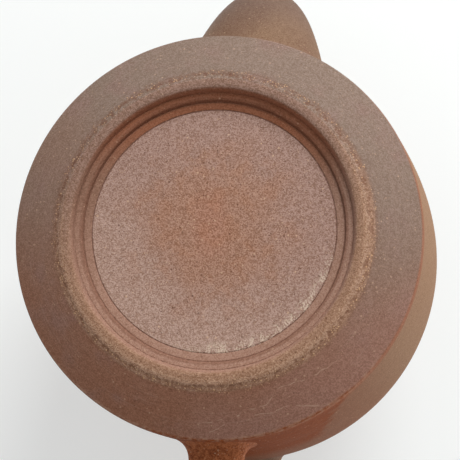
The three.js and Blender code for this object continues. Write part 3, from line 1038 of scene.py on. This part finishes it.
def lay_recess(clay):
    """A pinkish floor, stained and blushed in the middle, with a dark line of painted shade round
    it.
    """
    outwards = clay.rise(clay.radius + clay.cloud * 22, 7, 27)
    floor = clay.blend("a17b68", "9f8175", outwards)
    lighter = clay.rise(clay.x * -1 - clay.y * 0.4 + clay.drift * 20, -12, 26)
    floor = clay.blend(floor, "b09385", lighter * outwards * 0.85)
    stain = clay.rise(clay.noise(4.2, 8, shift=0.97), 0.5, 0.6)
    floor = clay.blend(floor, "a06e4f", stain * (1 - clay.rise(clay.radius, 16, 27)) * 0.2)
    off_middle = ((clay.x - 2) ** 2 + (clay.y * 1.7 + 1) ** 2) ** 0.5
    blush = 1 - clay.rise(off_middle + clay.cloud * 9, 3, 11)
    clay.lay(clay.blend(floor, "a66a52", blush * 0.24), clay.recess)
    # Painted shade: a dark line in the incised groove at the floor's edge.
    line = clay.ring(FLOOR_RADIUS - 0.1, FLOOR_RADIUS + 0.05, 0.14, clay.flow * 0.2)
    clay.lay("603a2b", line * 0.65)


# %% Edge marks and scratches
SCRATCHES = ((-44.5, 0.2, 4), (-48.0, 0.62, 7))


def lay_edge_marks(clay):
    """A darker band with pale grit at the ring's root, pale patches at the floor's edge towards +Y
    and -X, and a paler rim at the crease towards -X.
    """
    # A darker band at the ring's root, with pale grit in it.
    root = clay.ring(foot_radius - 0.4, foot_radius + 0.7, 0.5, (clay.rough - 0.5) * 0.8)
    clay.lay("6c4431", root * (clay.rough * 0.4 + 0.2) * (1 - clay.grit))
    clay.lay("cda47c", (root * 0.55 + clay.crest * 0.1 + clay.flank * 0.16) * clay.grit)
    # Pale patches at the floor's edge towards +Y and -X.
    pale_patches = clay.rise(clay.noise(2.2, shift=1.13) + (clay.noise(0.45) - 0.5) * 1.4, 0.46, 0.66)
    pale_patches = pale_patches * clay.rise(clay.y * 0.75 - clay.x + clay.cloud * 14, 21, 31) * clay.recess
    edge = clay.rise(clay.radius + clay.flow * 2.5, FLOOR_RADIUS - 2.9, FLOOR_RADIUS - 0.7)
    clay.lay("ddcab4", pale_patches * edge * 0.7)
    # A paler, patchy rim at the crease towards -X.
    rim = clay.ring(CREASE_RADIUS - 0.5, CREASE_RADIUS + 0.3, 0.3) * clay.rough
    clay.lay("b8937b", rim * clay.rise(clay.x * -1, 18, 38) * 0.4)


def lay_scratches(clay):
    """Broken scratches on the cone, each with its place in X, its slope and its sway."""
    wander = clay.noise(9, 3, shift=2.6) - 0.5
    scratch = 0
    for place, slope, sway in SCRATCHES:
        off = abs(clay.x - place - clay.y * slope - wander * sway)
        scratch = scratch + (1 - clay.rise(off, 0.04, 0.2))
    scratch = scratch * clay.under * clay.rise(clay.radius, foot_radius + 1.1, foot_radius + 2.2)
    scratch = scratch * clay.rise(clay.noise(3, shift=2.9), 0.42, 0.55)
    scratch = scratch * clay.rise(clay.y, -2, 3) * (1 - clay.rise(clay.y, 26, 34))
    clay.lay("bd9c86", (scratch * 0.5).clamped())


# %% Clay of the pot and foot
def pot_clay():
    """All layers of the pot's clay, with the turning lines over them."""
    clay = PotClay()
    for layer in (lay_cone, lay_wall, lay_slip_and_shade, lay_foot_ring, lay_recess):
        layer(clay)
    sand = clay.recess * 0.5 + clay.crest * 0.35 + clay.flank * 0.4 + 0.78
    relief, pale = gritty(clay, sand)
    lay_edge_marks(clay)
    lay_scratches(clay)
    turned = clay.value("ShaderNodeTexNoise", {"noise_dimensions": "1D"}, {
        "W": clay.radius * 1.9 + clay.z * 0.9, "Scale": 1.0, "Detail": 3.0})
    streaks = clay.rise(turned, 0.5, 0.68) * clay.rise(clay.cloud, -0.15, 0.1)
    clay.lay("a68b7c", streaks * (1 - clay.recess) * 0.16)
    lines = clay.noise(0.5, 1, shift=1.3)
    relief = relief + turned * 0.03 * (1 - clay.recess) + lines * 0.02
    relief = relief + (clay.crest + clay.flank) * clay.grit * 0.06
    return clay.finish(lines * 0.14 + clay.crest * 0.08 - pale * 0.08 + 0.7, relief)


# %% Clay of the spout, lid and strainer
def smooth_clay(name, light, dark, shift):
    """Skin that was sponged smooth, with fainter grit, and greyer towards the spout's tip."""
    clay = Finish(name)
    drift = clay.noise(18, shift=shift)
    cloud = clay.noise(6, 3, shift=shift + 0.5)
    clay.tone = clay.blend(dark, light, clay.rise(drift, 0.35, 0.68))
    clay.lay("7c5a50", clay.rise(cloud, 0.52, 0.8) * 0.4)
    clay.lay("6b5850", clay.rise(clay.radius, 56, 76) * 0.7)
    relief, pale = gritty(clay, cloud * 0.2 + 0.7)
    return clay.finish(drift * 0.12 - pale * 0.08 + 0.66, relief * 0.8)


# %% Clay of the handle
def handle_clay():
    """Pulled clay: brushed with slip near the lower root, where it fired red, and plain above."""
    clay = Finish("handle clay")
    drift = clay.noise(14, shift=2.1)
    streaks = clay.noise(1.3, 4, shift=2.4)
    clay.tone = clay.blend("7c5c4b", "927461", clay.rise(drift, 0.35, 0.7))
    red = 1 - clay.rise(clay.z + (drift - 0.5) * 12, 16, 30)
    slip = clay.blend("b06e49", "874c31", clay.rise(streaks, 0.42, 0.62))
    slip = clay.blend(slip, "985530", (1 - clay.rise(clay.radius, 52.5, 56)) * 0.5)
    clay.lay(slip, red)
    relief, pale = gritty(clay, red * 0.5 + 0.75)
    return clay.finish(streaks * 0.16 - pale * 0.06 + 0.64, relief + streaks * red * 0.35)


pot_finish = pot_clay()
spout_finish = smooth_clay("spout clay", "836853", "785d4b", 3.0)
lid_finish = smooth_clay("lid clay", "8d705e", "7f6151", 4.0)
handle_finish = handle_clay()
finishes = (pot_finish, spout_finish, lid_finish, handle_finish)
print("finishes:", [material.name for material in finishes])

# %% [markdown]
# ## Piercing the strainer
#
# The tree's inputs are set by their identifiers before the modifier is first evaluated. The result
# becomes a plain mesh, which is moved to its place behind the spout, and its skirt is drawn out to
# the inside of the wall.

# %% Strainer, pierced and seated
HOLE_RINGS = 4
HOLE_PITCH = 2.75
HOLE_RADIUS = 0.85
SKIRT_SUNK = 0.3

tree, inputs = piercing_tree()
pierce = strainer.modifiers.new("pierce", "NODES")
pierce.node_group = tree
pierce[inputs["Rings"]] = HOLE_RINGS
pierce[inputs["Pitch"]] = HOLE_PITCH * MM
pierce[inputs["Hole radius"]] = HOLE_RADIUS * MM
pierce[inputs["Clay"]] = lid_finish
settle(strainer)

seat = Matrix.Translation((STRAINER_FACE * MM, 0, STRAINER_HEIGHT * MM))
seat = seat @ Matrix.Rotation(-math.pi / 2, 4, "Y")
seat = Matrix.Rotation(math.radians(SPOUT_TURN), 4, "Z") @ seat
skirt = [v.index for v in strainer.data.vertices if v.co.z < -3 * MM]
strainer.data.transform(seat)
outwards = turned_about_axis(Vector((1, 0, 0)), SPOUT_TURN)
for index in skirt:
    vertex = strainer.data.vertices[index]
    start = vertex.co / MM
    travel = first_outside(lambda t: start + outwards * t, -12, 12,
                           lambda p: clear_of_wall(p, WALL_THICKNESS))
    vertex.co = (start + outwards * (travel + SKIRT_SUNK)) * MM
print("strainer:", len(strainer.data.polygons), "faces,", len(skirt), "skirt vertices on the wall")

# %% [markdown]
# ## Riding on the frame
#
# Each piece takes its finish, moves with its body and hides the solids that it stands for. The lid
# is the only thing that moves.

# %% A table of finishes, bodies and slots
wearing = [
    (foot, pot_finish, "pot", "foot_clay", ["foot_ring"]),
    (pot, pot_finish, "pot", "body_clay", ["base_plate", "body_wall", "mouth_ring"]),
    (spout, spout_finish, "pot", "body_clay", ["spout"]),
    (handle, handle_finish, "pot", "body_clay", ["handle"]),
    (strainer, lid_finish, "pot", "body_clay", ["strainer"]),
    (lid, lid_finish, "lid", "lid_clay", ["lid_plate", "lid_flange", "lid_knob"]),
]
for piece, material, body, slot, nodes in wearing:
    piece.data.materials.clear()
    piece.data.materials.append(material)
    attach(piece, body)
    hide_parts(*nodes)
print("pieces:", [piece.name for piece, *_ in wearing])

# %% [markdown]
# ## Floor, backdrop and light
#
# The pot stands on a pale floor, yet the camera looks at it from underneath. The floor is therefore
# solid only for camera rays that come from above. Everything else passes through it, so the view
# from below is clear and the lamp down there reaches the foot. A tilted backdrop of the same paper
# hangs over the pot, is seen only from below and catches a soft shadow.
#
# Hiding them by hand for each view would work too. Here the material asks what ray meets it, and
# on which side. The paper is slightly cool, and the glow is its share of plain white near the pot,
# which grows to all of it further away.

# %% Floor and backdrop
PAPER = (0.93, 0.97, 0.955, 1)
GLOW = 0.46


def sheet(name, height, low, half, tilt=(0, 0)):
    """A level or tilted sheet of paper that only camera rays meet, on one of its sides."""
    mesh = bpy.data.meshes.new(name)
    corners = [(-half, -half), (half, -half), (half, half), (-half, half)]
    mesh.from_pydata([(x, y, height + tilt[0] * x + tilt[1] * y) for x, y in corners], [],
                     [(3, 2, 1, 0) if low else (0, 1, 2, 3)])
    paper = Finish(name)
    seen = paper.value("ShaderNodeLightPath", output="Is Camera Ray")
    behind = paper.value("ShaderNodeNewGeometry", output="Backfacing")
    fade = paper.value("ShaderNodeMapRange", {"interpolation_type": "SMOOTHSTEP"}, {
        "Value": paper.radius, "From Min": 0.1 / MM, "From Max": 0.8 * half / MM, "To Min": GLOW})
    pale = paper.add("ShaderNodeBsdfDiffuse", sockets={"Color": PAPER})
    white = paper.add("ShaderNodeEmission", sockets={"Color": (1, 1, 1, 1), "Strength": 1.0})
    clear = paper.add("ShaderNodeBsdfTransparent")
    bare = paper.add("ShaderNodeMixShader", sockets={
        0: fade, 1: pale.outputs[0], 2: white.outputs[0]})
    either = paper.add("ShaderNodeMixShader", sockets={
        0: seen * (1 - behind), 1: clear.outputs[0], 2: bare.outputs[0]})
    paper.add("ShaderNodeOutputMaterial", sockets={"Surface": either.outputs[0]})
    mesh.materials.append(paper.material)
    item = new_object(name, mesh)


sheet("floor", 0, False, 1.5)
sheet("backdrop", 0.1, True, 0.3, (-0.06, 0.06))

# %% World
AMBIENT_BELOW = 0.42
AMBIENT_ABOVE = 0.58
world = bpy.data.worlds.new("studio")
bpy.context.scene.world = world
tree = bare_tree(world)
rays = add_node(tree, "ShaderNodeLightPath").outputs
shown = Value(tree, rays["Is Camera Ray"])
direction = add_node(tree, "ShaderNodeSeparateXYZ", sockets={
    0: add_node(tree, "ShaderNodeTexCoord").outputs["Generated"]}).outputs
ambient = Value(tree, add_node(tree, "ShaderNodeMapRange", sockets={
    "Value": direction[2], "From Min": -0.4, "From Max": 0.4,
    "To Min": AMBIENT_BELOW, "To Max": AMBIENT_ABOVE}).outputs[0])
sky = add_node(tree, "ShaderNodeBackground", sockets={
    "Color": (1, 1, 1, 1), "Strength": shown + ambient * (1 - shown)})
add_node(tree, "ShaderNodeOutputWorld", sockets={"Surface": sky.outputs[0]})


# %% Lamps
def lamp(name, place, aim, size, power):
    """A square soft light at a place in metres, turned towards a point."""
    light = bpy.data.lights.new(name, "AREA")
    light.size = size
    light.energy = power
    holder = new_object(name, light)
    holder.location = place
    holder.rotation_euler = (Vector(aim) - Vector(place)).to_track_quat("-Z", "Y").to_euler()


middle = (0, 0, 0.03)
lamp("below", (0.54, 0.24, -0.42), middle, 0.4, 5.3)
lamp("beside", (0.07, 0.66, 0.2), middle, 0.5, 2.2)
lamp("above", (0.35, -0.45, 0.75), middle, 0.6, 3.3)
lamp("above fill", (-0.6, 0.35, 0.55), middle, 0.6, 1.1)

# %% [markdown]
# ## Camera
#
# The view was worked out from the foot's circles. They are all level and share one axis, so their
# ellipses give the tilt, 13 degrees from the axis, and how their centres drift with height gives
# the distance. The aim is a few pixels off the middle, which a Track To constraint can't do, so the
# camera is turned until the crease's centre is seen at its own pixel.

# %% Camera
FRAME = 460
FOCAL = 1049
SEEN_AT = (214.5, 231.5)
crease_centre = Vector((0, 0, CREASE_HEIGHT * MM))
camera_place = Vector((-42.054, 37.338, -236.993)) * MM
roll = math.radians(3.6)
up_hint = Vector((math.cos(roll), -math.sin(roll), 0))
to_crease = (crease_centre - camera_place).normalized()
aim = to_crease.copy()


def axes(aim):
    """The camera's right and up for a direction that it looks in."""
    right = aim.cross(up_hint).normalized()
    return right, right.cross(aim)


for _ in range(20):
    right, up = axes(aim)
    depth = to_crease.dot(aim)
    aim += right * (to_crease.dot(right) / depth - (SEEN_AT[0] - FRAME / 2) / FOCAL)
    aim += up * (to_crease.dot(up) / depth + (SEEN_AT[1] - FRAME / 2) / FOCAL)
    aim.normalize()
right, up = axes(aim)

camera_data = bpy.data.cameras.new("camera")
camera_data.sensor_width = 36
camera_data.lens = FOCAL / FRAME * camera_data.sensor_width
camera_data.clip_start = 0.01
camera = new_object("camera", camera_data)
camera.matrix_world = Matrix((
    (right.x, up.x, -aim.x, camera_place.x),
    (right.y, up.y, -aim.y, camera_place.y),
    (right.z, up.z, -aim.z, camera_place.z),
    (0, 0, 0, 1),
))
bpy.context.scene.camera = camera
bpy.context.scene.view_settings.view_transform = "Standard"
print("lens", round(camera_data.lens, 1), "mm")
